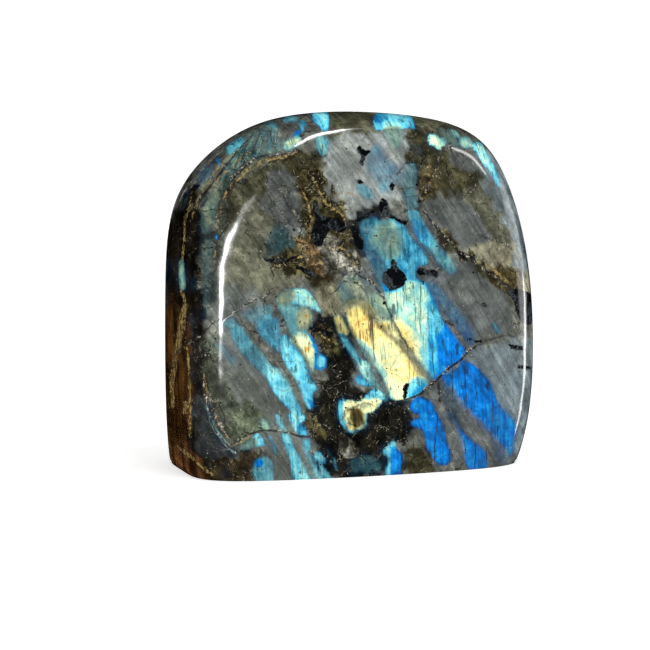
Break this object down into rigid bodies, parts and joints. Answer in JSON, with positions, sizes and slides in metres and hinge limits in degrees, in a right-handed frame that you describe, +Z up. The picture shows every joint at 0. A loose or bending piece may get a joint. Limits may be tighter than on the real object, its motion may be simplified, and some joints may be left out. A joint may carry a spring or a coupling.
{
  "type": "polished labradorite freeform",
  "caption": "Freestanding polished labradorite: a thick soft-edged slab of grey-green feldspar on a sawn base, with blue, green and gold flash.",
  "frame": {"origin": "middle of the flat sawn base, on the surface that the stone stands on", "axes": "+Z up, +X along the width, towards the steeper end, which is on the right as the flash face is looked at, -Y out of the broad flash face"},
  "size_m": [0.0874, 0.0454, 0.0843],
  "materials": {
    "labradorite": "polished"
  },
  "bodies": {
    "root": {"labradorite_stone": "labradorite"}
  },
  "joints": []
}
